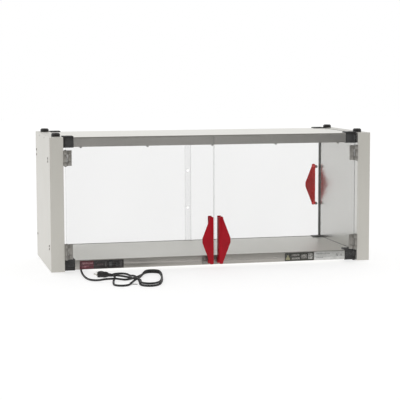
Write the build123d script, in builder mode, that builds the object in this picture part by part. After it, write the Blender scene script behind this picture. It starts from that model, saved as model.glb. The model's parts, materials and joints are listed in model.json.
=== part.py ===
from build123d import *
import math
import os

# Food holding cabinet: two hollow end casings carry a lower and an upper shelf. Clear doors swing at
# the front and slide at the rear. Millimetres, +X right, +Y to the rear, +Z up. The origin is at the
# middle of the footprint, on the surface that the feet stand on.

# ---- driving dimensions ----
SPAN = 1218.0            # clear width between the end casings
END_T = 54.0             # thickness of an end casing
DEPTH = 500.0            # depth of an end casing
END_H = 532.0            # height of an end casing
FOOT_H = 8.0             # rubber foot
FOOT_R = 16.0
SHEET = 1.5              # sheet metal
SHELF_Y = 225.0          # front and rear faces of the shelf rails
RAIL_H = 38.5
RAIL_D = 20.0            # flange depth of a rail
RAIL_T = 2.0
END_RAIL_T = 3.0         # the rails at the ends of a shelf are thicker
LOWER_Z = 11.5           # underside of the lower rails
UPPER_Z = 499.5          # underside of the upper rails
BLOCK_X = 44.0           # corner block, along X
BLOCK_Y = 45.0
BLOCK_H = 46.0
BLOCK_DROP = 2.5         # how far a block hangs below its rails
DOOR_T = 6.0             # front door sheet
DOOR_Y = -239.0          # mid plane of the front doors
DOOR_Z = (28.0, 533.0)
DOOR_X = (2.0, 600.0)
HINGE_X = 602.0
HINGE_Y = -254.0
HINGE_R = 6.5
PIN_R = 3.0
RUNNING = 0.05           # radial running clearance
HINGE_LEN = 61.0
HINGE_Z = (57.0, 427.0)  # underside of each hinge
HANDLE_OUT = 280.0       # outer face of every handle, from the middle
HANDLE_H = 186.0
FRONT_HANDLE_H = 193.0
BLADE_T = 4.0
SLIDER_T = 5.0           # rear door sheet
SLIDER_Z = (32.5, 528.0)
SLIDER_X = (-12.0, 605.0)
INNER_Y = 230.25         # mid plane of the inner rear door
OUTER_Y = 238.25         # mid plane of the outer rear door
CAP_R = 17.5
CAP_X = 630.0
CAP_Y = (-182.0, 199.0)
CORD_D = 8.2
RELIEF_X = -534.0
RELIEF_Z = 18.0

HALF = SPAN / 2
OUT = HALF + END_T
END_TOP = FOOT_H + END_H
SCREW_R = 2.5

os.makedirs("parts", exist_ok=True)


def save(part, label):
    part.label = label
    export_step(part, f"parts/{label}.step")


def block(x, y, z, mode=Mode.ADD):
    """A box between two corners, added to the open part."""
    with Locations((sum(x) / 2, sum(y) / 2, sum(z) / 2)):
        Box(abs(x[1] - x[0]), abs(y[1] - y[0]), abs(z[1] - z[0]), mode=mode)


def span_x(side, near, far):
    """X limits on the left (-1) or right (1) side."""
    return (side * near, side * far) if side > 0 else (side * far, side * near)


def rod(point, direction, radius, length, mode=Mode.ADD):
    """A round bar from a point along a direction, added to the open part."""
    with Locations(Plane(origin=point, z_dir=direction)):
        Cylinder(radius, length, align=(Align.CENTER, Align.CENTER, Align.MIN), mode=mode)


def screw(point, direction, head_r, head_h, shank_r, shank_l):
    """A button-head screw: its head stands on the point along direction, its shank goes the other way."""
    rod(point, direction, head_r, head_h)
    back = tuple(-value for value in direction)
    rod(point, back, shank_r, shank_l)


# ---- end casings ----
FLANGE_Y = DEPTH / 2
SIDE_SCREWS = [(-190, 442), (-190, 454), (-203, 95), (-203, 107), (215, 105), (215, 444), (215, 465)]
EDGE_SCREWS = [(-69, 530), (103, 530)]
HINGE_SCREW_Y = -226.0
HINGE_SCREW_DZ = (14.0, 47.0)

for side, name in ((-1, "left"), (1, "right")):
    with BuildPart() as shell:
        block(span_x(side, OUT - SHEET, OUT), (-FLANGE_Y, FLANGE_Y), (FOOT_H, END_TOP))
        for face in (-1, 1):
            flange = sorted((face * (FLANGE_Y - SHEET), face * FLANGE_Y))
            block(span_x(side, HALF, OUT), flange, (FOOT_H, END_TOP))
        outer_edges = shell.edges().filter_by(Axis.Z)
        corners = outer_edges.filter_by(lambda edge: abs(edge.center().X) > OUT - 0.1)
        fillet(corners.filter_by(lambda edge: abs(edge.center().Y) > FLANGE_Y - 0.1), radius=1.4)
        for y, z in SIDE_SCREWS:
            rod((side * (OUT + 1), y, z), (-side, 0, 0), SCREW_R, 6, Mode.SUBTRACT)
        for y, z in EDGE_SCREWS:
            rod((side * (OUT + 1), y, z), (-side, 0, 0), 1.5, 6, Mode.SUBTRACT)
    save(shell.part, f"{name}_end_shell")

with BuildPart() as inner_panels:
    for side in (-1, 1):
        block(span_x(side, HALF, HALF + SHEET), (-FLANGE_Y + SHEET, FLANGE_Y - SHEET), (FOOT_H, END_TOP))
        for low in HINGE_Z:
            for dz in HINGE_SCREW_DZ:
                place = (side * (HALF - 5), HINGE_SCREW_Y, low + dz)
                rod(place, (side, 0, 0), 2, 10, Mode.SUBTRACT)
save(inner_panels.part, "inner_panels")

with BuildPart() as end_covers:
    for side in (-1, 1):
        for low in (FOOT_H, END_TOP - SHEET):
            block(
                span_x(side, HALF + SHEET, OUT - SHEET),
                (-FLANGE_Y + SHEET, FLANGE_Y - SHEET),
                (low, low + SHEET),
            )
save(end_covers.part, "end_covers")

TUBE = 25.0
TUBE_T = 2.0
with BuildPart() as end_frames:
    for side in (-1, 1):
        for y in CAP_Y:
            with Locations((side * CAP_X, y, (FOOT_H + END_TOP) / 2)):
                Box(TUBE, TUBE, END_H - 2 * SHEET)
        for z in (FOOT_H + 30, END_TOP - 30):
            with Locations((side * CAP_X, sum(CAP_Y) / 2, z)):
                Box(TUBE, CAP_Y[1] - CAP_Y[0], TUBE)
        for y in CAP_Y:
            with Locations((side * CAP_X, y, (FOOT_H + END_TOP) / 2)):
                Box(TUBE - 2 * TUBE_T, TUBE - 2 * TUBE_T, END_H - 2 * SHEET, mode=Mode.SUBTRACT)
save(end_frames.part, "end_frames")

CAP_H = 14.0
with BuildPart() as stacking_caps:
    with BuildSketch(Plane.XY.offset(END_TOP)):
        with Locations(*[(side * CAP_X, y) for side in (-1, 1) for y in CAP_Y]):
            Circle(CAP_R)
    extrude(amount=CAP_H)
    chamfer(stacking_caps.edges().group_by(Axis.Z)[-1], length=4.5)
    fillet(stacking_caps.edges().group_by(Axis.Z)[-1], radius=2)
save(stacking_caps.part, "stacking_caps")

with BuildPart() as rubber_feet:
    with BuildSketch():
        with Locations(*[(side * CAP_X, y) for side in (-1, 1) for y in CAP_Y]):
            Circle(FOOT_R)
    extrude(amount=FOOT_H)
    chamfer(rubber_feet.edges().group_by(Axis.Z)[0], length=1.5)
save(rubber_feet.part, "rubber_feet")

with BuildPart() as panel_screws:
    for side in (-1, 1):
        for y, z in SIDE_SCREWS:
            screw((side * OUT, y, z), (side, 0, 0), 4.5, 2, SCREW_R, 8)
        for y, z in EDGE_SCREWS:
            screw((side * OUT, y, z), (side, 0, 0), 2.6, 1, 1.5, 8)
        for low in HINGE_Z:
            for dz in HINGE_SCREW_DZ:
                screw((side * (HALF - 2), HINGE_SCREW_Y, low + dz), (-side, 0, 0), 3.6, 1.6, 2, 6)
save(panel_screws.part, "panel_screws")

# ---- shelves ----
RAIL_X = HALF - BLOCK_X
RAIL_END_Y = SHELF_Y - BLOCK_Y
RAIL_SCREWS = (-535.0, -267.0, 0.0, 267.0, 535.0)
PLATE_T = 1.5
SWITCH_X = -423.0
KNOB_X = -398.0
CONTROL_Z = 29.5
SWITCH_SIZE = (13.6, 23.6)
SHAFT_R = 3.0


def rail_section(outer, inward, low, wall):
    """A C section with a lip that the cover sheet butts against. outer is its outer face."""
    steps = [
        (0, 0), (RAIL_D, 0), (RAIL_D, RAIL_T), (wall, RAIL_T),
        (wall, RAIL_H - SHEET - RAIL_T), (RAIL_D, RAIL_H - SHEET - RAIL_T),
        (RAIL_D, RAIL_H - SHEET), (wall, RAIL_H - SHEET), (wall, RAIL_H), (0, RAIL_H),
    ]
    Polyline(*[(outer + inward * depth, low + height) for depth, height in steps], close=True)


def front_or_rear_rail(label, inward, low, lip, openings):
    outer = -inward * SHELF_Y
    with BuildPart() as rail:
        with BuildSketch(Plane.YZ.offset(-RAIL_X)):
            with BuildLine():
                rail_section(outer, inward, low, RAIL_T)
            make_face()
        extrude(amount=2 * RAIL_X)
        if lip:
            block((-RAIL_X, RAIL_X), sorted((outer - inward, outer)), (low + RAIL_H - 9, low + RAIL_H))
        for x in RAIL_SCREWS:
            rod((x, outer + inward * 12, low - 1), (0, 0, 1), 2, 4, Mode.SUBTRACT)
        if openings:
            with Locations((SWITCH_X, outer, CONTROL_Z)):
                Box(SWITCH_SIZE[0], 6, SWITCH_SIZE[1], mode=Mode.SUBTRACT)
            rod((KNOB_X, outer - 3, CONTROL_Z), (0, 1, 0), SHAFT_R + 1, 8, Mode.SUBTRACT)
    save(rail.part, label)


front_or_rear_rail("lower_front_rail", 1, LOWER_Z, False, True)
front_or_rear_rail("lower_rear_rail", -1, LOWER_Z, False, False)
front_or_rear_rail("upper_front_rail", 1, UPPER_Z, True, False)
front_or_rear_rail("upper_rear_rail", -1, UPPER_Z, False, False)

with BuildPart() as end_rails:
    for low in (LOWER_Z, UPPER_Z):
        for side in (-1, 1):
            with BuildSketch(Plane.XZ.offset(-RAIL_END_Y)):
                with BuildLine():
                    rail_section(side * HALF, -side, low, END_RAIL_T)
                make_face()
            extrude(amount=2 * RAIL_END_Y)
save(end_rails.part, "end_rails")


def shelf_sheet(low, thickness):
    """The cross-shaped sheet that lies on the rail flanges, with notches at the corner blocks."""
    wide = HALF - END_RAIL_T
    deep = SHELF_Y - RAIL_T
    block((-wide, wide), (-RAIL_END_Y, RAIL_END_Y), (low, low + thickness))
    block((-RAIL_X, RAIL_X), (-deep, deep), (low, low + thickness))


POCKET_X = (RELIEF_X - 28, RELIEF_X + 28)
POCKET_Y = (-204.0, -60.0)
POCKET_TOP = 33.0
SKIN_Z = LOWER_Z + RAIL_T

with BuildPart() as lower_deck:
    shelf_sheet(LOWER_Z + RAIL_H - SHEET, SHEET)
save(lower_deck.part, "lower_deck")

with BuildPart() as lower_skin:
    shelf_sheet(SKIN_Z, SHEET)
    block(POCKET_X, POCKET_Y, (SKIN_Z - 1, SKIN_Z + SHEET + 1), Mode.SUBTRACT)
save(lower_skin.part, "lower_skin")

with BuildPart() as upper_deck:
    shelf_sheet(UPPER_Z + RAIL_H - SHEET, SHEET)
save(upper_deck.part, "upper_deck")

with BuildPart() as upper_skin:
    shelf_sheet(UPPER_Z + RAIL_T, SHEET)
save(upper_skin.part, "upper_skin")

for low, name in ((LOWER_Z, "lower"), (UPPER_Z, "upper")):
    with BuildPart() as corner_blocks:
        bottom = low - BLOCK_DROP
        for side in (-1, 1):
            for face in (-1, 1):
                block(
                    span_x(side, RAIL_X, HALF),
                    sorted((face * RAIL_END_Y, face * SHELF_Y)),
                    (bottom, bottom + BLOCK_H),
                )
        chamfer(corner_blocks.edges().group_by(Axis.Z)[-1], length=1.5)
        for side in (-1, 1):
            for face in (-1, 1):
                place = (side * (HALF - BLOCK_X / 2), face * (SHELF_Y - BLOCK_Y / 2), bottom + BLOCK_H - 5)
                rod(place, (0, 0, 1), 6, 8, Mode.SUBTRACT)
    save(corner_blocks.part, f"{name}_corner_blocks")

WIRING_X = -350.0
HEATER_T = 2.0
FILL_X = HALF - RAIL_D - 2
FILL_Y = SHELF_Y - RAIL_D - 2
HEATER_LOW = LOWER_Z + RAIL_H - SHEET - HEATER_T

CORNER_X = RAIL_X - 2
CORNER_Y = RAIL_END_Y - 2
with BuildPart() as shelf_insulation:
    lower_fill = (SKIN_Z + SHEET, HEATER_LOW)
    block((WIRING_X, CORNER_X), (-FILL_Y, FILL_Y), lower_fill)
    block((WIRING_X, FILL_X), (-CORNER_Y, CORNER_Y), lower_fill)
    upper_fill = (UPPER_Z + RAIL_T + SHEET, UPPER_Z + RAIL_H - SHEET)
    block((-CORNER_X, CORNER_X), (-FILL_Y, FILL_Y), upper_fill)
    block((-FILL_X, FILL_X), (-CORNER_Y, CORNER_Y), upper_fill)
save(shelf_insulation.part, "shelf_insulation")

with BuildPart() as heater_mat:
    block((WIRING_X, CORNER_X), (-FILL_Y + 8, FILL_Y - 8), (HEATER_LOW, HEATER_LOW + HEATER_T))
save(heater_mat.part, "heater_mat")

with BuildPart() as rail_screws:
    for low, head_r, head_h in ((LOWER_Z, 3.6, 1.6), (UPPER_Z, 4.5, 5.0)):
        for face in (-1, 1):
            for x in RAIL_SCREWS:
                screw((x, face * (SHELF_Y - 12), low), (0, 0, -1), head_r, head_h, 2, 2)
save(rail_screws.part, "rail_screws")

# ---- rear tracks and jambs ----
LIP_T = 1.75
TRACK_X = HALF - 0.5
LIP_LOWS = (SHELF_Y, SHELF_Y + 8, SHELF_Y + 16)


def track(label, base, lips):
    """An E section: a base strip and three lips, with a channel for each sliding door."""
    with BuildPart() as profile:
        block((-TRACK_X, TRACK_X), (LIP_LOWS[0], LIP_LOWS[2] + LIP_T), base)
        for low in LIP_LOWS:
            block((-TRACK_X, TRACK_X), (low, low + LIP_T), lips)
    save(profile.part, label)


TRACK_FLOOR = SLIDER_Z[0] - 0.5
DECK_TOP = LOWER_Z + RAIL_H
UPPER_LIP = 508.0
track("rear_lower_track", (TRACK_FLOOR - 4, TRACK_FLOOR), (TRACK_FLOOR, DECK_TOP))
track("rear_upper_track", (532, 535), (UPPER_LIP, 532))

with BuildPart() as jamb_strips:
    for side in (-1, 1):
        block(span_x(side, HALF - 3, HALF), (SHELF_Y + 1, LIP_LOWS[2] + LIP_T), (DECK_TOP, UPPER_LIP))
save(jamb_strips.part, "jamb_strips")

# ---- controls in the lower front rail ----
PLATE_Y = -SHELF_Y - PLATE_T
PLATE_Z = (LOWER_Z + 1, LOWER_Z + 35.5)
BADGE_X = (-547.0, -491.0)
with BuildPart() as control_plate:
    block((BADGE_X[1], -370), (PLATE_Y, -SHELF_Y), PLATE_Z)
    with Locations((SWITCH_X, PLATE_Y, CONTROL_Z)):
        Box(SWITCH_SIZE[0], 6, SWITCH_SIZE[1], mode=Mode.SUBTRACT)
    rod((KNOB_X, PLATE_Y - 3, CONTROL_Z), (0, 1, 0), SHAFT_R + 1, 8, Mode.SUBTRACT)
save(control_plate.part, "control_plate")

for label, limits in (("name_badge", BADGE_X), ("warning_plate", (304, 429)), ("rating_plate", (431, 564))):
    with BuildPart() as plate:
        block(limits, (PLATE_Y, -SHELF_Y), PLATE_Z)
        fillet(plate.edges().filter_by(Axis.Y), radius=1.5)
    save(plate.part, label)

BEZEL_T = 2.0
POCKET_DEPTH = 7.0
with BuildPart() as switch_body:
    with Locations((SWITCH_X, PLATE_Y - BEZEL_T / 2, CONTROL_Z)):
        Box(SWITCH_SIZE[0] + 5, BEZEL_T, SWITCH_SIZE[1] + 5)
    with Locations((SWITCH_X, (PLATE_Y - 198) / 2, CONTROL_Z)):
        Box(SWITCH_SIZE[0], -198 - PLATE_Y, SWITCH_SIZE[1])
    with Locations((SWITCH_X, PLATE_Y - BEZEL_T + POCKET_DEPTH / 2, CONTROL_Z)):
        Box(SWITCH_SIZE[0] - 1, POCKET_DEPTH, SWITCH_SIZE[1] - 1, mode=Mode.SUBTRACT)
save(switch_body.part, "switch_body")

ROCKER_TILT = 6.0
ROCKER_Y = PLATE_Y + 1.0
rocker_plane = Plane(
    origin=(SWITCH_X - 5.8, ROCKER_Y, CONTROL_Z),
    x_dir=(0, math.cos(math.radians(ROCKER_TILT)), math.sin(math.radians(ROCKER_TILT))),
    z_dir=(1, 0, 0),
)
with BuildPart() as rocker:
    with BuildSketch(rocker_plane):
        with BuildLine():
            Polyline((-4, -9.6), (2.2, -9.6), (2.2, 9.6), (-4, 9.6))
            ThreePointArc((-4, 9.6), (-2.4, 0), (-4, -9.6))
        make_face()
    extrude(amount=11.6)
save(rocker.part, "rocker")

KNOB_GAP = 1.0
KNOB_H = 7.0
with BuildPart() as thermostat_body:
    block((KNOB_X - 17, KNOB_X + 11), (-SHELF_Y + RAIL_T, -190), (SKIN_Z + SHEET + 1, HEATER_LOW - 1))
    rod((KNOB_X, -SHELF_Y + RAIL_T + 1, CONTROL_Z), (0, -1, 0), SHAFT_R, 9)
save(thermostat_body.part, "thermostat_body")

SHAFT_END = -SHELF_Y + RAIL_T + 1 - 9
BORE_L = PLATE_Y - SHAFT_END + 0.5
with BuildPart() as knob:
    rod((KNOB_X, PLATE_Y - KNOB_GAP, CONTROL_Z), (0, -1, 0), 8, KNOB_H)
    chamfer(knob.edges().group_by(Axis.Y)[0], length=1)
    rod((KNOB_X, PLATE_Y, CONTROL_Z), (0, -1, 0), SHAFT_R + RUNNING, BORE_L, Mode.SUBTRACT)
save(knob.part, "knob")

with BuildPart() as terminal_block:
    block((-500, -446), (-150, -118), (SKIN_Z + SHEET, 36))
    for number in range(4):
        x = -493.25 + 13.5 * number
        rod((x, -134, 31), (0, 0, 1), 3.5, 8, Mode.SUBTRACT)
save(terminal_block.part, "terminal_block")

# ---- magnetic catch ----
CATCH_X = (-46.0, 17.0)
CATCH_Z = (15.0, 49.0)
CATCH_Y = -234.0
MAGNETS = ((-44.0, -8.0), (4.5, 13.5))
MAGNET_Z = (34.0, 45.0)
with BuildPart() as catch_body:
    block(CATCH_X, (CATCH_Y, -SHELF_Y), CATCH_Z)
    chamfer(catch_body.edges().group_by(Axis.Y)[0], length=0.8)
    for limits in MAGNETS:
        block(limits, (CATCH_Y - 1, CATCH_Y + 5), MAGNET_Z, Mode.SUBTRACT)
save(catch_body.part, "catch_body")

with BuildPart() as catch_magnets:
    for limits in MAGNETS:
        block(limits, (CATCH_Y, CATCH_Y + 5), MAGNET_Z)
save(catch_magnets.part, "catch_magnets")

# ---- hinges on the end casings ----
LEAF_T = 2.0
SEGMENT = 16.0           # length of each outer knuckle; the fixed knuckle is between them
KNUCKLE_GAP = 0.5
with BuildPart() as hinge_fixed_leaves:
    for side in (-1, 1):
        for low in HINGE_Z:
            middle = (low + SEGMENT, low + HINGE_LEN - SEGMENT)
            axis_point = (side * HINGE_X, HINGE_Y, middle[0])
            block(span_x(side, HALF - LEAF_T, HALF), (-244, -212), (low, low + HINGE_LEN))
            block(span_x(side, HALF - LEAF_T, HALF), (HINGE_Y, -243), middle)
            rod(axis_point, (0, 0, 1), HINGE_R, middle[1] - middle[0])
            rod(axis_point, (0, 0, 1), PIN_R, middle[1] - middle[0], Mode.SUBTRACT)
            for dz in HINGE_SCREW_DZ:
                place = (side * (HALF - 5), HINGE_SCREW_Y, low + dz)
                rod(place, (side, 0, 0), 2, 6, Mode.SUBTRACT)
save(hinge_fixed_leaves.part, "hinge_fixed_leaves")

with BuildPart() as hinge_pins:
    for side in (-1, 1):
        for low in HINGE_Z:
            rod((side * HINGE_X, HINGE_Y, low - 1), (0, 0, 1), PIN_R, HINGE_LEN + 2)
            rod((side * HINGE_X, HINGE_Y, low - 2.5), (0, 0, 1), 4.4, 2)
            rod((side * HINGE_X, HINGE_Y, low + HINGE_LEN + 0.5), (0, 0, 1), 4.4, 2)
save(hinge_pins.part, "hinge_pins")

# ---- front doors ----
DOOR_FRONT = DOOR_Y - DOOR_T / 2
DOOR_BACK = DOOR_Y + DOOR_T / 2
LEAF_X = (576.0, 593.0)
LEAF_FRONT = DOOR_FRONT - 5.0
LEAF_SCREW_X = 584.5
HANDLE_Z = 20.0
HANDLE_SCREW_X = 19.5
HANDLE_SCREW_Z = (HANDLE_Z + 17, HANDLE_Z + FRONT_HANDLE_H - 10)
FLANGE_T = 3.0
WEB_T = 4.0


def blade_outline(x, toward, low, height):
    """A handle blade: a straight edge at x, a wide rounded tip in the middle, narrow rounded ends."""
    mid = low + height / 2
    points = [
        (x, low), (x + toward * 16, low), (x + toward * 16, low + 9), (x + toward * 46, mid - 9),
        (x + toward * 46, mid + 9), (x + toward * 16, low + height - 9), (x + toward * 16, low + height),
        (x, low + height),
    ]
    Polyline(*points, close=True)


def round_blade(edges):
    """Rounds the blade's ends and its tip, seen from the front."""
    fillet(edges, radius=6)


for side, name in ((-1, "left"), (1, "right")):
    with BuildPart() as door:
        block(span_x(side, *DOOR_X), (DOOR_FRONT, DOOR_BACK), DOOR_Z)
        fillet(door.edges().filter_by(Axis.Y), radius=3)
        for z in HANDLE_SCREW_Z:
            rod((side * HANDLE_SCREW_X, DOOR_FRONT - 1, z), (0, 1, 0), SCREW_R, DOOR_T + 2, Mode.SUBTRACT)
        for low in HINGE_Z:
            for dz in HINGE_SCREW_DZ:
                place = (side * LEAF_SCREW_X, DOOR_FRONT - 1, low + dz)
                rod(place, (0, 1, 0), SCREW_R, DOOR_T + 2, Mode.SUBTRACT)
    save(door.part, f"{name}_door_panel")

    with BuildPart() as handle:
        with BuildSketch(Plane.XZ.offset(HANDLE_OUT)):
            with BuildLine():
                blade_outline(side * 12, side, HANDLE_Z, FRONT_HANDLE_H)
            make_face()
        extrude(amount=-BLADE_T)
        round_blade(handle.edges().filter_by(Axis.Y))
        web_z = (HANDLE_Z, HANDLE_Z + FRONT_HANDLE_H)
        web_trim = (HANDLE_Z + 6, HANDLE_Z + FRONT_HANDLE_H - 6)
        block(span_x(side, 12, 12 + WEB_T), (-HANDLE_OUT + BLADE_T, DOOR_FRONT), web_trim)
        block(span_x(side, 12, 27), (DOOR_FRONT - FLANGE_T, DOOR_FRONT), web_z)
        for z in HANDLE_SCREW_Z:
            rod((side * HANDLE_SCREW_X, DOOR_FRONT, z), (0, -1, 0), 5.5, 10)
            rod((side * HANDLE_SCREW_X, DOOR_FRONT + 1, z), (0, -1, 0), SCREW_R, 9, Mode.SUBTRACT)
    save(handle.part, f"{name}_door_handle")

    with BuildPart() as leaves:
        for low in HINGE_Z:
            block(span_x(side, *LEAF_X), (LEAF_FRONT, DOOR_FRONT), (low, low + HINGE_LEN))
            for start in (low, low + HINGE_LEN - SEGMENT + KNUCKLE_GAP):
                with BuildSketch(Plane.XY.offset(start)):
                    with BuildLine():
                        arm = [
                            (602, -260.4), (594, -256), (590, LEAF_FRONT), (590, DOOR_FRONT),
                            (597, DOOR_FRONT), (602, -248),
                        ]
                        Polyline(*[(side * x, y) for x, y in arm], close=True)
                    make_face()
                    with Locations((side * HINGE_X, HINGE_Y)):
                        Circle(HINGE_R)
                        Circle(PIN_R + RUNNING, mode=Mode.SUBTRACT)
                extrude(amount=SEGMENT - KNUCKLE_GAP)
            for dz in HINGE_SCREW_DZ:
                place = (side * LEAF_SCREW_X, LEAF_FRONT - 1, low + dz)
                rod(place, (0, 1, 0), SCREW_R, 7, Mode.SUBTRACT)
    save(leaves.part, f"{name}_door_leaves")

    with BuildPart() as door_screws:
        for z in HANDLE_SCREW_Z:
            screw((side * HANDLE_SCREW_X, DOOR_BACK, z), (0, 1, 0), 4.8, 1.6, SCREW_R, DOOR_T + 8)
        for low in HINGE_Z:
            for dz in HINGE_SCREW_DZ:
                point = (side * LEAF_SCREW_X, LEAF_FRONT, low + dz)
                screw(point, (0, -1, 0), 4.5, 2, SCREW_R, DOOR_BACK - LEAF_FRONT + 2)
                rod((side * LEAF_SCREW_X, DOOR_BACK, low + dz), (0, 1, 0), 4.2, 2.5)
    save(door_screws.part, f"{name}_door_screws")

    with BuildPart() as strike:
        limits = (-43.0, -12.0) if side < 0 else (4.5, 13.5)
        block(limits, (DOOR_BACK, DOOR_BACK + 1.6), MAGNET_Z)
        if side < 0:
            z = HANDLE_SCREW_Z[0]
            rod((side * HANDLE_SCREW_X, DOOR_BACK - 1, z), (0, 1, 0), 5.2, 5, Mode.SUBTRACT)
    save(strike.part, f"{name}_strike")

# ---- rear doors ----
REAR_HANDLE_Z = 187.0
REAR_HANDLE_X = 602.5
POST_X = 594.5
POST_Z = (REAR_HANDLE_Z + 10, REAR_HANDLE_Z + HANDLE_H - 10)
POST_R = 6.5
PULL_X = (-597.0, -567.0)
PULL_Z = (241.0, 331.0)
PULL_R = 6.0

with BuildPart() as rear_right_panel:
    block(SLIDER_X, (OUTER_Y - SLIDER_T / 2, OUTER_Y + SLIDER_T / 2), SLIDER_Z)
    fillet(rear_right_panel.edges().filter_by(Axis.Y), radius=3)
    for z in POST_Z:
        rod((POST_X, OUTER_Y - 5, z), (0, 1, 0), SCREW_R, 10, Mode.SUBTRACT)
save(rear_right_panel.part, "rear_right_panel")

with BuildPart() as rear_handle:
    with BuildSketch(Plane.XZ.offset(-HANDLE_OUT)):
        with BuildLine():
            blade_outline(REAR_HANDLE_X, -1, REAR_HANDLE_Z, HANDLE_H)
        make_face()
    extrude(amount=BLADE_T)
    round_blade(rear_handle.edges().filter_by(Axis.Y))
    for z in POST_Z:
        post_y = OUTER_Y + SLIDER_T / 2
        rod((POST_X, post_y, z), (0, 1, 0), POST_R, HANDLE_OUT - BLADE_T - post_y)
        rod((POST_X, post_y - 1, z), (0, 1, 0), SCREW_R, 13, Mode.SUBTRACT)
save(rear_handle.part, "rear_handle")

with BuildPart() as rear_handle_screws:
    for z in POST_Z:
        inside = OUTER_Y - SLIDER_T / 2
        screw((POST_X, inside, z), (0, -1, 0), 4.8, 1.6, SCREW_R, SLIDER_T + 11)
save(rear_handle_screws.part, "rear_handle_screws")

with BuildPart() as rear_left_panel:
    inner_limits = (-SLIDER_X[1], -SLIDER_X[0])
    block(inner_limits, (INNER_Y - SLIDER_T / 2, INNER_Y + SLIDER_T / 2), SLIDER_Z)
    fillet(rear_left_panel.edges().filter_by(Axis.Y), radius=3)
    block(PULL_X, (INNER_Y - SLIDER_T, INNER_Y + SLIDER_T), PULL_Z, Mode.SUBTRACT)
    slot_edges = rear_left_panel.edges().filter_by(Axis.Y)
    fillet(slot_edges.filter_by_position(Axis.Z, PULL_Z[0] - 1, PULL_Z[1] + 1), radius=PULL_R)
save(rear_left_panel.part, "rear_left_panel")

BUMPER_Z = (195.0, 359.0)
with BuildPart() as rear_left_bumpers:
    for z in BUMPER_Z:
        rod((-2, INNER_Y - SLIDER_T / 2, z), (0, -1, 0), 5, 3.5)
    chamfer(rear_left_bumpers.edges().group_by(Axis.Y)[0], length=1.2)
save(rear_left_bumpers.part, "rear_left_bumpers")

# ---- cord outlet ----
RELIEF_Y = POCKET_Y[1]
RELIEF_L = 35.0
with BuildPart() as cord_outlet_box:
    block(POCKET_X, POCKET_Y, (SKIN_Z, POCKET_TOP + SHEET))
    inside_x = (POCKET_X[0] + SHEET, POCKET_X[1] - SHEET)
    block(inside_x, (POCKET_Y[0], POCKET_Y[1] - SHEET), (SKIN_Z - 1, POCKET_TOP), Mode.SUBTRACT)
    rod((RELIEF_X, RELIEF_Y - 5, RELIEF_Z + 4), (0, 1, 0), 6.5, 10, Mode.SUBTRACT)
save(cord_outlet_box.part, "cord_outlet_box")

with BuildPart() as strain_relief:
    axis_z = RELIEF_Z + 4
    with BuildSketch(Plane.XZ.offset(-(RELIEF_Y + 4))):
        with Locations((RELIEF_X, axis_z)):
            Circle(6.5)
    extrude(amount=4 + SHEET)
    with BuildSketch(Plane.XZ.offset(-(RELIEF_Y - SHEET))):
        with Locations((RELIEF_X, axis_z)):
            Circle(9)
    extrude(amount=4)
    with BuildSketch(Plane.XZ.offset(-(RELIEF_Y - SHEET - 4))):
        with Locations((RELIEF_X, axis_z)):
            Circle(8)
    with BuildSketch(Plane.XZ.offset(-(RELIEF_Y - RELIEF_L))):
        with Locations((RELIEF_X, RELIEF_Z)):
            Circle(5.6)
    loft()
save(strain_relief.part, "strain_relief")

# ---- the lead: straight runs joined by tangent arcs, laid on the floor ----
CORD_R = CORD_D / 2
FLOOR = CORD_R + 0.1
OVER = FLOOR + CORD_D
LEAD = [
    (RELIEF_X, RELIEF_Y - RELIEF_L, RELIEF_Z),
    (-534, -130, 17.6),
    (-537, -185, 8),
    (-542, -235, FLOOR),
    (-547, -320, FLOOR),
    (-546, -397, FLOOR),
    (-536, -438, FLOOR),
    (-512, -468, 6.5),
    (-487, -479, 12),
    (-466, -480, OVER),
]
lead_points = [Vector(*point) for point in LEAD]
radii = []
for before, here, after in zip(lead_points, lead_points[1:], lead_points[2:]):
    turn = (here - before).get_angle(after - here)
    shorter = min((here - before).length, (after - here).length)
    radii.append(0.45 * shorter / math.tan(math.radians(turn) / 2))
print("lead radii", [round(radius) for radius in radii])

with BuildPart() as cord_lead:
    with BuildLine() as lead_path:
        FilletPolyline(*lead_points, radius=radii)
    with BuildSketch(Plane(origin=lead_path.line @ 0, z_dir=lead_path.line % 0)):
        Circle(CORD_R)
    sweep()
lead_length = sum(edge.length for edge in lead_path.edges())
expected = math.pi * CORD_R**2 * lead_length
print("lead length", round(lead_length), "volume", round(cord_lead.part.volume), "of", round(expected))
save(cord_lead.part, "cord_lead")

# ---- the hank: the outer shape of two loose loops lying on the floor ----
HANK_H = OVER + CORD_R
OUTLINE = [
    (-468, -535), (-464, -500), (-457, -470), (-448, -436), (-440, -402), (-437, -372), (-441, -341),
    (-431, -318), (-410, -308), (-387, -312), (-371, -330), (-367, -362), (-361, -398), (-350, -400),
    (-336, -372), (-322, -346), (-308, -322), (-292, -307), (-265, -306), (-247, -322), (-243, -343),
    (-244, -370), (-247, -402), (-252, -434), (-259, -471), (-267, -511), (-278, -553), (-290, -590),
    (-307, -617), (-332, -629), (-358, -622), (-373, -602), (-375, -570), (-376, -538), (-384, -534),
    (-391, -548), (-401, -573), (-413, -592), (-436, -600), (-459, -592), (-471, -569),
]
LOOP_HOLES = [((-402, -365), 22, 38), ((-430, -535), 18, 42), ((-307, -470), 27, 98)]
with BuildPart() as cord_hank:
    with BuildSketch():
        with BuildLine():
            Spline(*OUTLINE, periodic=True)
        make_face()
        for place, half_x, half_y in LOOP_HOLES:
            with Locations(place):
                Ellipse(half_x, half_y, mode=Mode.SUBTRACT)
    extrude(amount=HANK_H)
save(cord_hank.part, "cord_hank")

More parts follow.
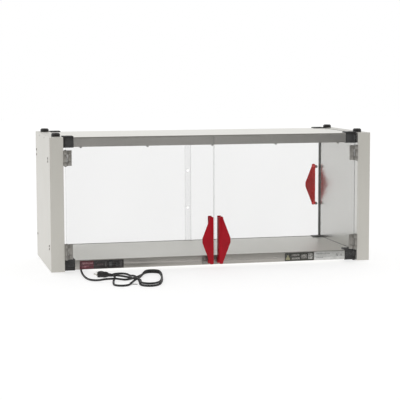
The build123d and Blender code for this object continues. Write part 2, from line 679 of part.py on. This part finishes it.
TIE_X = (-412.0, -385.0)
TIE_Y = (-554.0, -550.0)
TIE_TAIL = 8.0
with BuildPart() as cord_tie:
    block(TIE_X, TIE_Y, (HANK_H, HANK_H + 1))
    block((TIE_X[1] - 1, TIE_X[1]), TIE_Y, (0.2, HANK_H + 1))
    block((TIE_X[1] - 1, TIE_X[1] + TIE_TAIL), TIE_Y, (0.2, 1.4))
save(cord_tie.part, "cord_tie")

# ---- the plug, blades one above the other ----
PLUG_CENTRE = Vector(-474, -369, 12)
PLUG_AIM = Vector(-0.75, 0.6614, 0)
PLUG_L = 42.0
PLUG_W = 29.0
PLUG_SHOULDER = 14.0
PLUG_H = 23.6
TAIL_L = 21.0
plug_rear = PLUG_CENTRE - PLUG_AIM * (PLUG_L / 2)
plug_front = PLUG_CENTRE + PLUG_AIM * (PLUG_L / 2)
side_way = PLUG_AIM.cross(Vector(0, 0, 1))

with BuildPart() as plug_body:
    with BuildSketch(Plane(origin=plug_rear, x_dir=side_way, z_dir=PLUG_AIM)):
        RectangleRounded(18, 17, 5)
    with BuildSketch(Plane(origin=plug_rear + PLUG_AIM * PLUG_SHOULDER, x_dir=side_way, z_dir=PLUG_AIM)):
        RectangleRounded(PLUG_W, PLUG_H, 5)
    loft()
    with BuildSketch(Plane(origin=plug_rear + PLUG_AIM * PLUG_SHOULDER, x_dir=side_way, z_dir=PLUG_AIM)):
        RectangleRounded(PLUG_W, PLUG_H, 5)
    extrude(amount=PLUG_L - PLUG_SHOULDER)
    with BuildSketch(Plane(origin=plug_rear, x_dir=side_way, z_dir=PLUG_AIM * -1)):
        Circle(7)
    with BuildSketch(Plane(origin=plug_rear - PLUG_AIM * TAIL_L, x_dir=side_way, z_dir=PLUG_AIM * -1)):
        Circle(5)
    loft()
save(plug_body.part, "plug_body")

BLADE_L = 16.0
with BuildPart() as plug_blades:
    with BuildSketch(Plane(origin=plug_front, x_dir=side_way, z_dir=PLUG_AIM)):
        with Locations((2, 6.35), (2, -6.35)):
            Rectangle(6.3, 1.5)
    extrude(amount=BLADE_L)
    with BuildSketch(Plane(origin=plug_front, x_dir=side_way, z_dir=PLUG_AIM)):
        with Locations((-9, 0)):
            Circle(2.4)
    extrude(amount=BLADE_L + 3)
save(plug_blades.part, "plug_blades")
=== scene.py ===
import json
import math
import bmesh
import bpy
from mathutils import Matrix, Vector


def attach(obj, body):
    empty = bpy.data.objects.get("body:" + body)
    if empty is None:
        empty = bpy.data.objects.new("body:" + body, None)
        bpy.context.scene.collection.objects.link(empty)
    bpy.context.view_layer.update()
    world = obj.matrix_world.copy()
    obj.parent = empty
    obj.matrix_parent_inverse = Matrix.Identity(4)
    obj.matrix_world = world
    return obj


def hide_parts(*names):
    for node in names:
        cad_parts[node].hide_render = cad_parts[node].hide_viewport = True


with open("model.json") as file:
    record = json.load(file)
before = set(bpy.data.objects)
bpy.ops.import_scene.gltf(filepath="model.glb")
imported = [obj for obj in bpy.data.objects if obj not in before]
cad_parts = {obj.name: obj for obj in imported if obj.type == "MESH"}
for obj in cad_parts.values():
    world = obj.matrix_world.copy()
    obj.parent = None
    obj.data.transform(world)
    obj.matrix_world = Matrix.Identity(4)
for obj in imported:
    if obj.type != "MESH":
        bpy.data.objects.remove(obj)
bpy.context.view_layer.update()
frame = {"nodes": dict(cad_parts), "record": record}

NODES = frame["nodes"]
BODIES = frame["record"]["behaviour"]["bodies"]
SLOTS = {row["node"]: row["material_slot"] for row in frame["record"]["subparts"]}
BODY_OF = {node: body for body, nodes in BODIES.items() for node in nodes}
MM = 0.001


# ---------------------------------------------------------------- camera
LENS = 114.53            # focal length in millimetres, on a sensor 36 mm wide
CAMERA_PLACE = (-1.2408, -5.1994, 0.8127)
CAMERA_YAW = math.radians(13.408)
CAMERA_PITCH = math.radians(5.988)
CAMERA_ROLL = math.radians(-0.168)


def add_camera():
    """The camera stands in front and to the left, a little above the cabinet, and looks slightly down."""
    data = bpy.data.cameras.new("camera")
    data.lens = LENS
    data.sensor_width = 36.0
    data.clip_end = 60.0
    camera = bpy.data.objects.new("camera", data)
    bpy.context.scene.collection.objects.link(camera)
    level = math.cos(CAMERA_PITCH)
    aim = Vector((math.sin(CAMERA_YAW) * level, math.cos(CAMERA_YAW) * level, -math.sin(CAMERA_PITCH)))
    turn = aim.to_track_quat("-Z", "Y").to_matrix().to_4x4() @ Matrix.Rotation(CAMERA_ROLL, 4, "Z")
    camera.matrix_world = Matrix.Translation(CAMERA_PLACE) @ turn
    bpy.context.scene.camera = camera


# ---------------------------------------------------------------- node helpers
def new_material(name, color, rough, metallic=0.0, **sockets):
    """A Principled material with its constant values on the shader's own sockets."""
    mat = bpy.data.materials.new(name)
    mat.use_nodes = True
    tree = mat.node_tree
    shader = tree.nodes["Principled BSDF"]
    shader.inputs["Base Color"].default_value = (*color, 1.0)
    shader.inputs["Roughness"].default_value = rough
    shader.inputs["Metallic"].default_value = metallic
    for key, value in sockets.items():
        shader.inputs[key].default_value = value
    return mat, tree, shader


def coords(tree, scale):
    """Object coordinates stretched by scale, three numbers."""
    source = tree.nodes.new("ShaderNodeTexCoord")
    mapping = tree.nodes.new("ShaderNodeMapping")
    mapping.inputs["Scale"].default_value = scale
    tree.links.new(source.outputs["Object"], mapping.inputs["Vector"])
    return mapping.outputs["Vector"]


def noise(tree, vector, scale, detail=3.0, rough=0.55):
    """A cloudy pattern from 0 to 1, mostly within 0.3 to 0.7."""
    node = tree.nodes.new("ShaderNodeTexNoise")
    node.inputs["Scale"].default_value = scale
    node.inputs["Detail"].default_value = detail
    node.inputs["Roughness"].default_value = rough
    tree.links.new(vector, node.inputs["Vector"])
    return node.outputs["Fac"]


def spread(tree, value, low, high, start=0.3, end=0.7):
    """Maps the range start to end onto low to high."""
    node = tree.nodes.new("ShaderNodeMapRange")
    for key, number in (("From Min", start), ("From Max", end), ("To Min", low), ("To Max", high)):
        node.inputs[key].default_value = number
    tree.links.new(value, node.inputs["Value"])
    return node.outputs["Result"]


def calculate(tree, operation, first, second):
    """A math node on two sockets, or on a socket and a number."""
    node = tree.nodes.new("ShaderNodeMath")
    node.operation = operation
    tree.links.new(first, node.inputs[0])
    if isinstance(second, (int, float)):
        node.inputs[1].default_value = second
    else:
        tree.links.new(second, node.inputs[1])
    return node.outputs[0]


# places of the colour sockets on a mix node, which has several sockets of each name
MIX_FIRST = 6
MIX_SECOND = 7
MIX_RESULT = 2


def blend_colors(tree, factor, first, second):
    """Mixes two colours. Each is three numbers or a socket."""
    node = tree.nodes.new("ShaderNodeMix")
    node.data_type = "RGBA"
    for place, color in ((MIX_FIRST, first), (MIX_SECOND, second)):
        if isinstance(color, tuple):
            node.inputs[place].default_value = (*color, 1.0)
        else:
            tree.links.new(color, node.inputs[place])
    tree.links.new(factor, node.inputs[0])
    return node.outputs[MIX_RESULT]


def bump(tree, shader, height, strength, distance):
    """Bump from a height socket; distance is in metres."""
    node = tree.nodes.new("ShaderNodeBump")
    node.inputs["Strength"].default_value = strength
    node.inputs["Distance"].default_value = distance
    tree.links.new(height, node.inputs["Height"])
    tree.links.new(node.outputs["Normal"], shader.inputs["Normal"])


def shade(color, factor):
    """A lighter or darker tone of a colour."""
    return tuple(min(1.0, part * factor) for part in color)


def brushed_metal(name, color, rough, grain, variation=0.06, metallic=1.0):
    """Sheet metal with a fine directional grain. grain stretches the noise: small numbers run along it."""
    mat, tree, shader = new_material(name, color, rough, metallic)
    fine = noise(tree, coords(tree, grain), 60.0, 4.0, 0.7)
    cloud = noise(tree, coords(tree, (1, 1, 1)), 5.0, 2.0)
    dark, light = shade(color, 1 - variation), shade(color, 1 + variation)
    tone = blend_colors(tree, spread(tree, fine, 0, 1), dark, light)
    tree.links.new(tone, shader.inputs["Base Color"])
    streak = spread(tree, fine, rough - 0.04, rough + 0.04)
    mark = spread(tree, cloud, -0.025, 0.025)
    tree.links.new(calculate(tree, "ADD", streak, mark), shader.inputs["Roughness"])
    bump(tree, shader, fine, 0.06, 0.0002)
    return mat


def moulded(name, color, rough, grain_size=900.0, strength=0.12, **sockets):
    """Moulded plastic or rubber: a fine spark-eroded grain and faint handling marks."""
    mat, tree, shader = new_material(name, color, rough, 0.0, **sockets)
    grain = noise(tree, coords(tree, (1, 1, 1)), grain_size, 2.0)
    cloud = noise(tree, coords(tree, (1, 1, 1)), 22.0, 3.0)
    tone = blend_colors(tree, spread(tree, cloud, 0, 1), shade(color, 0.88), shade(color, 1.12))
    tree.links.new(tone, shader.inputs["Base Color"])
    tree.links.new(spread(tree, cloud, rough - 0.05, rough + 0.06), shader.inputs["Roughness"])
    bump(tree, shader, grain, strength, 0.0003)
    return mat


SHEET_ROUGH = 0.02
SHEET_IOR = 1.49


def clear_sheet(name, tint, face_alpha, edge_alpha):
    """Clear plastic sheet: its faces show a faint film and reflections, its cut edges look denser."""
    mat, tree, shader = new_material(name, tint, SHEET_ROUGH, 0.0)
    glance = tree.nodes.new("ShaderNodeFresnel")
    glance.inputs["IOR"].default_value = SHEET_IOR
    source = tree.nodes.new("ShaderNodeTexCoord")
    split = tree.nodes.new("ShaderNodeSeparateXYZ")
    tree.links.new(source.outputs["Normal"], split.inputs[0])
    upright = tree.nodes.new("ShaderNodeMath")
    upright.operation = "ABSOLUTE"
    tree.links.new(split.outputs["Y"], upright.inputs[0])
    edge = spread(tree, upright.outputs[0], edge_alpha, face_alpha, 0.3, 0.7)
    smear = noise(tree, coords(tree, (1, 1, 0.6)), 3.0, 2.0)
    film = calculate(tree, "MULTIPLY", edge, spread(tree, smear, 0.8, 1.2))
    # a sheet reflects at two faces, and each face of this mesh is met once
    mirror = calculate(tree, "MULTIPLY", glance.outputs[0], 0.5)
    total = calculate(tree, "ADD", film, mirror)
    tree.links.new(total, shader.inputs["Alpha"])
    return mat


def patch(tree, x, z, soft=0.4):
    """1 inside an upright rectangle given in millimetres, 0 outside, with soft edges."""
    source = tree.nodes.new("ShaderNodeTexCoord")
    split = tree.nodes.new("ShaderNodeSeparateXYZ")
    tree.links.new(source.outputs["Object"], split.inputs[0])
    sides = []
    for output, (low, high) in (("X", x), ("Z", z)):
        place = split.outputs[output]
        sides.append(spread(tree, place, 0, 1, (low - soft) * MM, (low + soft) * MM))
        sides.append(spread(tree, place, 1, 0, (high - soft) * MM, (high + soft) * MM))
    inside = sides[0]
    for value in sides[1:]:
        inside = calculate(tree, "MULTIPLY", inside, value)
    return inside


def printed(name, color, rough, marks):
    """A moulded plate with printed marks: (x limits, z limits, colour, broken). Broken ones look worn."""
    mat, tree, shader = new_material(name, color, rough)
    cloud = noise(tree, coords(tree, (1, 1, 1)), 60.0, 3.0)
    tone = blend_colors(tree, spread(tree, cloud, 0, 1), shade(color, 0.85), shade(color, 1.15))
    for x, z, ink, broken in marks:
        inside = patch(tree, x, z)
        if broken:
            speckle = noise(tree, coords(tree, (1.0, 1.0, 0.8)), 420.0, 1.0)
            inside = calculate(tree, "MULTIPLY", inside, spread(tree, speckle, 0, 1, 0.42, 0.56))
        tone = blend_colors(tree, inside, tone, ink)
    tree.links.new(tone, shader.inputs["Base Color"])
    tree.links.new(spread(tree, cloud, rough - 0.04, rough + 0.06), shader.inputs["Roughness"])
    bump(tree, shader, noise(tree, coords(tree, (1, 1, 1)), 700.0, 2.0), 0.08, 0.0002)
    return mat


# ---------------------------------------------------------------- materials
ALONG_X = (1.2, 60, 60)
ALONG_Z = (60, 60, 1.5)
EVEN = (20, 20, 20)
SOFT_GLOSS = {"Specular IOR Level": 0.2}
# white emission for the clear rubber bumpers, which are no lamp: a painted highlight
PAINTED_GLOW = {"Emission Color": (1, 1, 1, 1), "Emission Strength": 0.8}
PALE = (0.62, 0.60, 0.56)
HAZARD = (0.42, 0.40, 0.24)
BADGE_MARKS = [
    ((-538, -494), (32, 40), (0.62, 0.30, 0.33), True),
    ((-539, -520), (20, 24), (0.55, 0.24, 0.28), True),
    ((-528, -510), (23, 27), (0.45, 0.18, 0.21), True),
]
CONTROL_MARKS = [
    ((-478, -452), (26, 32), (0.16, 0.10, 0.11), True),
    ((-445, -440), (20, 40), (0.22, 0.21, 0.20), True),
    ((-386, -378), (18, 42), (0.12, 0.12, 0.12), True),
]
WARNING_MARKS = [
    ((308, 326), (18, 24), HAZARD, False),
    ((311, 323), (24, 30), HAZARD, False),
    ((314, 320), (30, 37), HAZARD, False),
    ((334, 368), (33, 40), PALE, True),
    ((334, 368), (19, 27), PALE, True),
    ((376, 398), (22, 38), PALE, True),
    ((404, 424), (18, 42), (0.75, 0.73, 0.70), True),
]
RATING_MARKS = [
    ((440, 500), (37, 41), (0.30, 0.30, 0.30), True),
    ((440, 470), (20, 24), (0.30, 0.30, 0.30), True),
    ((526, 534), (25, 37), (0.22, 0.22, 0.22), True),
    ((545, 552), (27, 35), (0.05, 0.05, 0.05), True),
]
MATERIALS = {
    "casing_steel": brushed_metal("casing_steel", (0.64, 0.625, 0.58), 0.38, ALONG_Z, 0.04, 0.7),
    "shelf_steel": brushed_metal("shelf_steel", (0.90, 0.89, 0.84), 0.42, ALONG_X, 0.04, 0.6),
    "rail_aluminium": brushed_metal("rail_aluminium", (0.46, 0.44, 0.41), 0.38, ALONG_X, 0.05, 0.8),
    "frame_steel": moulded("frame_steel", (0.30, 0.30, 0.31), 0.45, 300.0, 0.2),
    "black_plastic": moulded("black_plastic", (0.022, 0.021, 0.021), 0.42),
    "black_rubber": moulded("black_rubber", (0.02, 0.02, 0.02), 0.65, 500.0, 0.3),
    "hardware_steel": brushed_metal("hardware_steel", (0.30, 0.29, 0.27), 0.34, EVEN, 0.1, 0.9),
    "insulation": moulded("insulation", (0.75, 0.68, 0.40), 0.95, 120.0, 0.9),
    "heater_foil": brushed_metal("heater_foil", (0.8, 0.8, 0.8), 0.28, (8, 8, 8)),
    "catch_plastic": brushed_metal("catch_plastic", (0.27, 0.26, 0.24), 0.3, EVEN, 0.15, 0.8),
    "magnet": moulded("magnet", (0.05, 0.05, 0.05), 0.35),
    "control_plate": printed("control_plate", (0.035, 0.028, 0.027), 0.34, CONTROL_MARKS),
    "badge": printed("badge", (0.13, 0.018, 0.03), 0.32, BADGE_MARKS),
    "warning_plate": printed("warning_plate", (0.055, 0.055, 0.045), 0.35, WARNING_MARKS),
    "rating_plate": printed("rating_plate", (0.78, 0.78, 0.76), 0.38, RATING_MARKS),
    "cord_rubber": moulded("cord_rubber", (0.014, 0.014, 0.014), 0.5, 700.0, 0.15),
    "nickel": brushed_metal("nickel", (0.62, 0.60, 0.54), 0.25, (40, 40, 40)),
    "clear_sheet": clear_sheet("clear_sheet", (0.34, 0.35, 0.35), 0.028, 0.5),
    "red_plastic": moulded("red_plastic", (0.42, 0.001, 0.012), 0.36, 700.0, 0.08, **SOFT_GLOSS),
    # the clear rubber bumpers glow through emission: a painted highlight, not a lamp
    "clear_rubber": moulded("clear_rubber", (0.95, 0.95, 0.95), 0.3, **PAINTED_GLOW),
    "rocker_plastic": moulded("rocker_plastic", (0.10, 0.10, 0.10), 0.30),
    "knob_plastic": moulded("knob_plastic", (0.03, 0.03, 0.03), 0.35),
}
SPECIAL = {
    "inner_panels": brushed_metal("inner_steel", (0.68, 0.675, 0.65), 0.22, ALONG_Z, 0.03, 0.75),
    # a brighter red for the rear handle than for the front handles, which are the same plastic: painted
    # light
    "rear_handle": moulded("rear_red_plastic_painted_light", (0.86, 0.004, 0.004), 0.36, 700.0, 0.08, **SOFT_GLOSS),
    "jamb_strips": moulded("jamb_grey", (0.15, 0.15, 0.14), 0.6),
    # a darker copy of the rail aluminium for the upper front rail only: painted shade
    "upper_front_rail": brushed_metal("upper_rail_aluminium_painted_shade", (0.34, 0.33, 0.31), 0.36, ALONG_X, 0.05, 0.8),
}


def dress(obj, mat):
    """Puts one material on every slot of an object."""
    slots = obj.material_slots
    if not slots:
        obj.data.materials.append(mat)
    for entry in slots:
        entry.material = mat


def finish_of(node):
    """A CAD node's material: its own where it has one, or else its slot's."""
    return SPECIAL.get(node, MATERIALS[SLOTS[node]])


def dress_cad_nodes():
    """Gives every carried-over CAD node its material."""
    for name, obj in NODES.items():
        dress(obj, finish_of(name))


# ---------------------------------------------------------------- mesh helpers
def place_piece(obj, node):
    """Links a piece that stands for a CAD node, and gives it that node's body, slot and finish."""
    bpy.context.scene.collection.objects.link(obj)
    dress(obj, finish_of(node))
    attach(obj, BODY_OF[node])
    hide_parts(node)
    return obj


WELD = 1e-6
FLAT_ANGLE = math.radians(1.0)
SHARP_ANGLE = math.radians(32.0)
SOFTENED_CREASE = math.radians(38.0)
LOFT_CREASE = math.radians(40.0)


def softened(node, width):
    """A copy of a CAD node with its sharp edges rounded, as pressed or moulded parts have."""
    mesh = NODES[node].data.copy()
    mesh.transform(NODES[node].matrix_world)
    work = bmesh.new()
    work.from_mesh(mesh)
    bmesh.ops.remove_doubles(work, verts=work.verts, dist=WELD)
    bmesh.ops.dissolve_limit(work, angle_limit=FLAT_ANGLE, verts=work.verts, edges=work.edges)
    closed = [edge for edge in work.edges if len(edge.link_faces) == 2]
    edges = [edge for edge in closed if edge.calc_face_angle(0.0) > SHARP_ANGLE]
    bmesh.ops.bevel(
        work, geom=edges, offset=width, segments=2, profile=0.5, affect="EDGES", clamp_overlap=True,
    )
    work.to_mesh(mesh)
    work.free()
    mesh.shade_smooth()
    mesh.set_sharp_from_angle(angle=SOFTENED_CREASE)
    return place_piece(bpy.data.objects.new(f"{node}_moulded", mesh), node)


def loft(name, rings):
    """A closed skin through rings of points, with a flat cap at each end."""
    work = bmesh.new()
    rows = [[work.verts.new(point) for point in ring] for ring in rings]
    count = len(rows[0])
    for first, second in zip(rows, rows[1:]):
        for i in range(count):
            j = (i + 1) % count
            work.faces.new((first[i], first[j], second[j], second[i]))
    work.faces.new(list(reversed(rows[0])))
    work.faces.new(rows[-1])
    bmesh.ops.recalc_face_normals(work, faces=work.faces)
    mesh = bpy.data.meshes.new(name)
    work.to_mesh(mesh)
    work.free()
    mesh.shade_smooth()
    mesh.set_sharp_from_angle(angle=LOFT_CREASE)
    return bpy.data.objects.new(name, mesh)


def rounded_ring(centre, side, up, half_w, half_h, power, count=40):
    """A superellipse ring: power 2 is an ellipse, larger numbers are squarer."""
    ring = []
    for i in range(count):
        angle = 2 * math.pi * i / count
        c, s = math.cos(angle), math.sin(angle)
        across = half_w * math.copysign(abs(c) ** (2 / power), c)
        height = half_h * math.copysign(abs(s) ** (2 / power), s)
        ring.append(centre + side * across + up * height)
    return ring


# ---------------------------------------------------------------- cord
CORD_D = 8.2 * MM
# heights of the cord's axis in millimetres: on the floor, and on another strand
FLOOR = 4.2
OVER = 12.6
LEAD = [
    (-534, -95, 18), (-534, -130, 17.6), (-537, -185, 8), (-542, -235, FLOOR), (-547, -320, FLOOR),
    (-546, -397, FLOOR), (-536, -438, FLOOR), (-512, -468, 6.5), (-487, -479, 12), (-466, -480, OVER),
]
RIGHT_OUTER = [
    (-446, -478, OVER), (-425, -473, 8), (-404, -465, FLOOR), (-382, -449, FLOOR), (-362, -429, FLOOR),
    (-346, -405, FLOOR), (-331, -379, FLOOR), (-317, -353, FLOOR), (-303, -326, FLOOR), (-288, -312, FLOOR),
    (-267, -312, FLOOR), (-251, -325, FLOOR), (-248, -342, FLOOR), (-249, -368, FLOOR), (-252, -400, FLOOR),
    (-257, -433, FLOOR), (-264, -470, FLOOR), (-272, -510, FLOOR), (-283, -551, FLOOR), (-295, -588, FLOOR),
    (-311, -613, FLOOR), (-333, -624, FLOOR), (-354, -618, FLOOR), (-368, -600, FLOOR), (-370, -574, FLOOR),
    (-365, -546, FLOOR), (-361, -520, FLOOR),
]
LEFT = [
    (-360, -498, 6.5), (-362, -473, 12.4), (-364, -448, 13), (-368, -420, 11.6), (-372, -392, 6.5),
    (-373, -360, FLOOR), (-376, -333, FLOOR), (-389, -317, FLOOR), (-409, -313, FLOOR), (-427, -322, FLOOR),
    (-436, -341, FLOOR), (-433, -372, FLOOR), (-435, -402, FLOOR), (-443, -436, FLOOR), (-452, -472, FLOOR),
    (-459, -506, FLOOR), (-464, -541, FLOOR), (-467, -568, FLOOR), (-456, -588, FLOOR), (-437, -595, FLOOR),
    (-418, -588, FLOOR), (-406, -570, FLOOR), (-398, -544, FLOOR), (-388, -520, FLOOR), (-378, -496, FLOOR),
]
RIGHT_INNER = [
    (-366, -469, FLOOR), (-353, -444, FLOOR), (-340, -418, FLOOR), (-328, -392, 6.5), (-317, -366, 10.8),
    (-308, -346, OVER), (-301, -329, OVER), (-286, -316, OVER), (-268, -316, OVER), (-253, -328, OVER),
    (-249, -343, OVER), (-250, -368, OVER), (-253, -400, OVER), (-258, -433, OVER), (-265, -470, OVER),
    (-273, -510, OVER), (-284, -551, OVER), (-296, -587, OVER), (-312, -610, OVER), (-333, -621, OVER),
    (-353, -615, OVER), (-366, -598, OVER), (-368, -573, OVER),
]
TO_PLUG = [
    (-361, -546, 12.8), (-362, -524, 13), (-370, -505, 13), (-381, -487, OVER), (-391, -465, 12.8),
    (-402, -444, 12.7), (-414, -424, OVER), (-428, -408, OVER), (-443, -396, 12.4),
]


def add_cord():
    """The whole lead as one NURBS spline: out of the relief, along the floor, two loose loops, the plug."""
    curve = bpy.data.curves.new("power_cord", "CURVE")
    curve.dimensions = "3D"
    curve.bevel_depth = CORD_D / 2
    curve.bevel_resolution = 5
    curve.resolution_u = 10
    spline = curve.splines.new("NURBS")
    points = LEAD + RIGHT_OUTER + LEFT + RIGHT_INNER + TO_PLUG
    spline.points.add(len(points) - 1)
    for point, place in zip(spline.points, points):
        point.co = (*[part * MM for part in place], 1.0)
    spline.order_u = 3
    spline.use_endpoint_u = True
    cord = bpy.data.objects.new("power_cord", curve)
    bpy.context.scene.collection.objects.link(cord)
    dress(cord, MATERIALS["cord_rubber"])
    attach(cord, "cabinet")
    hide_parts("cord_lead", "cord_hank")
    return cord


# ---------------------------------------------------------------- plug, strain relief, tie
UP = Vector((0, 0, 1))
PLUG_AIM = Vector((-0.75, 0.6614, 0)).normalized()
PLUG_CENTRE = Vector((-474, -369, 12)) * MM
PLUG_HALF = 21 * MM
TAIL_L = 21
TAIL_RIBS = 5
TAIL_PITCH = 3.8
# the body from its rear: distance along it, half width, half height, squareness
PLUG_BODY = [
    (0, 7.2, 7.2, 2.4), (3, 8.6, 8.4, 3), (8, 11.2, 10.2, 3.6), (14, 12.4, 11.2, 4.2), (22, 12.6, 10.6, 4.6),
    (31, 13.0, 11.0, 5), (34, 14.4, 11.8, 5.4), (41, 14.5, 11.8, 5.6), (42, 13.6, 11.0, 5.6),
]


def add_plug():
    """A moulded plug: a square body with a grip waist and a front flange, and a ribbed tail."""
    side = PLUG_AIM.cross(UP)
    rear = PLUG_CENTRE - PLUG_AIM * PLUG_HALF
    stations = [(-TAIL_L, 4.9, 4.9, 2)]
    for rib in range(TAIL_RIBS):
        start = -TAIL_L + 1.5 + rib * TAIL_PITCH
        grow = 0.35 * rib
        stations += [
            (start, 5.0 + grow, 5.0 + grow, 2), (start + 0.3, 5.7 + grow, 5.7 + grow, 2),
            (start + 2.2, 5.8 + grow, 5.8 + grow, 2), (start + 2.5, 5.0 + grow, 5.0 + grow, 2),
        ]
    stations += PLUG_BODY
    rings = [
        rounded_ring(rear + PLUG_AIM * (along * MM), side, UP, wide * MM, high * MM, power)
        for along, wide, high, power in stations
    ]
    return place_piece(loft("moulded_plug", rings), "plug_body")


RELIEF_TOP = Vector((-534, -61.5, 22)) * MM
RELIEF_END = Vector((-534, -95, 18)) * MM
RELIEF_RIBS = 6
RELIEF_PITCH = 0.135     # of the boot's length, as are the stations below
RIB_DEPTH = 1.1
NECK_R = 6.4             # the neck that passes through the outlet box
NECK_L = 5.5


def round_ring(centre, radius):
    """A circle of 28 points across the cord's exit; its radius is in millimetres."""
    return rounded_ring(centre, Vector((1, 0, 0)), UP, radius * MM, radius * MM, 2, 28)


def add_strain_relief():
    """A tapered rubber boot with ribs, from the outlet box to the cord, and its flange."""
    line = RELIEF_END - RELIEF_TOP
    stations = [(0, 9.0), (0.05, 9.0), (0.09, 8.4)]
    for rib in range(RELIEF_RIBS):
        start = 0.14 + rib * RELIEF_PITCH
        radius = 8.0 - 0.42 * rib
        stations += [
            (start, radius - RIB_DEPTH), (start + 0.015, radius),
            (start + 0.075, radius), (start + 0.09, radius - RIB_DEPTH),
        ]
    stations += [(0.97, 4.9), (1.0, 4.6)]
    inward = Vector((0, 1, 0)) * (NECK_L * MM)
    rings = [round_ring(RELIEF_TOP + inward, NECK_R), round_ring(RELIEF_TOP + inward * 0.05, NECK_R)]
    for share, radius in stations:
        rings.append(round_ring(RELIEF_TOP + line * share, radius))
    place_piece(loft("strain_relief_boot", rings), "strain_relief")


TIE_PLACE = Vector((-401, -555, 4.2)) * MM
TIE_ALONG = Vector((0.36, 0.93, 0)).normalized()
TIE_GAP = 0.35 * MM
TIE_HALF_W = 1.8 * MM
TIE_T = 0.8 * MM
TIE_STEPS = 28
TWIST_TURNS = 7
TWIST_L = 20 * MM
TWIST_Z = 2.2 * MM


def add_tie():
    """A flat twist tie: one turn round a strand of the hank, and two twisted ends on the floor."""
    out = TIE_ALONG.cross(UP)
    radius = CORD_D / 2 + TIE_GAP
    width = TIE_ALONG * TIE_HALF_W
    rings = []
    for i in range(TIE_STEPS + 1):
        angle = math.radians(-78 + 336 * i / TIE_STEPS)
        ray = out * math.cos(angle) + UP * math.sin(angle)
        low = TIE_PLACE + ray * (radius if ray.z > -0.95 else CORD_D / 2)
        rings.append([low - width, low + width, low + width + ray * TIE_T, low - width + ray * TIE_T])
    start = TIE_PLACE + out * (radius + TIE_T) - UP * (CORD_D / 2 - TWIST_Z)
    twist = []
    steps = TWIST_TURNS * 6
    for i in range(steps + 1):
        share = i / steps
        angle = share * TWIST_TURNS * math.pi
        centre = start + out * (TWIST_L * share)
        flat = (TIE_ALONG * math.cos(angle) + UP * math.sin(angle)) * TIE_HALF_W
        thin = (UP * math.cos(angle) - TIE_ALONG * math.sin(angle)) * (TIE_T / 2)
        twist.append([
            centre - flat - thin, centre + flat - thin,
            centre + flat + thin, centre - flat + thin,
        ])
    tie = place_piece(loft("twist_tie", rings), "cord_tie")
    ends = place_piece(loft("twist_tie_ends", twist), "cord_tie")
    return [tie, ends]


# CAD nodes whose edges are rounded, with the width of the rounding in millimetres
SOFTENED = {
    "left_door_handle": 1.0, "right_door_handle": 1.0, "rear_handle": 1.0,
    "upper_front_rail": 0.5, "lower_front_rail": 0.5, "lower_corner_blocks": 1.2, "upper_corner_blocks": 1.2,
    "catch_body": 0.8, "hinge_fixed_leaves": 0.4,
    "left_door_leaves": 0.4, "right_door_leaves": 0.4, "switch_body": 0.5, "rocker": 0.6, "knob": 0.5,
    "control_plate": 0.4, "name_badge": 0.4, "warning_plate": 0.4, "rating_plate": 0.4, "plug_blades": 0.3,
    "panel_screws": 0.5, "left_door_screws": 0.5, "right_door_screws": 0.5, "rail_screws": 0.4,
    "rubber_feet": 0.6, "hinge_pins": 0.4,
}


# ---------------------------------------------------------------- stage and light
STAGE_HALF = 14.0
STAGE_Z = -0.0005        # just under the feet, so that the two surfaces don't meet
STAGE_GLOW = 0.74
FRONT_TONE = (0.36, 0.355, 0.335)
REAR_TONE = (0.93, 0.93, 0.93)
# name, place, size, power
LAMPS = [
    ("key_light", (-2.6, -2.6, 3.2), 2.4, 7),
    ("fill_light", (2.8, -1.8, 2.4), 2.0, 2),
]
LAMP_TARGET = Vector((0, 0, 0.25))


def add_stage():
    """A plain pale floor."""
    mesh = bpy.data.meshes.new("studio_floor")
    corners = [(-1, -1), (1, -1), (1, 1), (-1, 1)]
    mesh.from_pydata([(x * STAGE_HALF, y * STAGE_HALF, STAGE_Z) for x, y in corners], [], [(0, 1, 2, 3)])
    floor = bpy.data.objects.new("studio_floor", mesh)
    bpy.context.scene.collection.objects.link(floor)
    mat, _, shader = new_material("studio_floor", (0.34, 0.34, 0.34), 0.9)
    shader.inputs["Emission Color"].default_value = (1, 1, 1, 1)
    shader.inputs["Emission Strength"].default_value = STAGE_GLOW
    dress(floor, mat)


def add_light():
    """Soft white surroundings, dimmer on the camera's side, and two large soft lamps."""
    scene = bpy.context.scene
    world = bpy.data.worlds.new("studio")
    world.use_nodes = True
    scene.world = world
    tree = world.node_tree
    back = tree.nodes["Background"]
    source = tree.nodes.new("ShaderNodeTexCoord")
    split = tree.nodes.new("ShaderNodeSeparateXYZ")
    tree.links.new(source.outputs["Generated"], split.inputs[0])
    side = spread(tree, split.outputs["Y"], 0.0, 1.0, -0.75, 0.2)
    tone = blend_colors(tree, side, FRONT_TONE, REAR_TONE)
    path = tree.nodes.new("ShaderNodeLightPath")
    seen = blend_colors(tree, path.outputs["Is Camera Ray"], tone, (1.0, 1.0, 1.0))
    tree.links.new(seen, back.inputs["Color"])
    back.inputs["Strength"].default_value = 1.0
    for name, place, size, power in LAMPS:
        data = bpy.data.lights.new(name, "AREA")
        data.size = size
        data.energy = power
        lamp = bpy.data.objects.new(name, data)
        scene.collection.objects.link(lamp)
        lamp.location = place
        lamp.rotation_euler = (LAMP_TARGET - Vector(place)).to_track_quat("-Z", "Y").to_euler()
    scene.view_settings.view_transform = "Standard"


add_camera()
dress_cad_nodes()
for softened_node, softened_width in SOFTENED.items():
    softened(softened_node, softened_width * MM)
cord = add_cord()
plug = add_plug()
add_strain_relief()
ties = add_tie()
add_stage()
add_light()
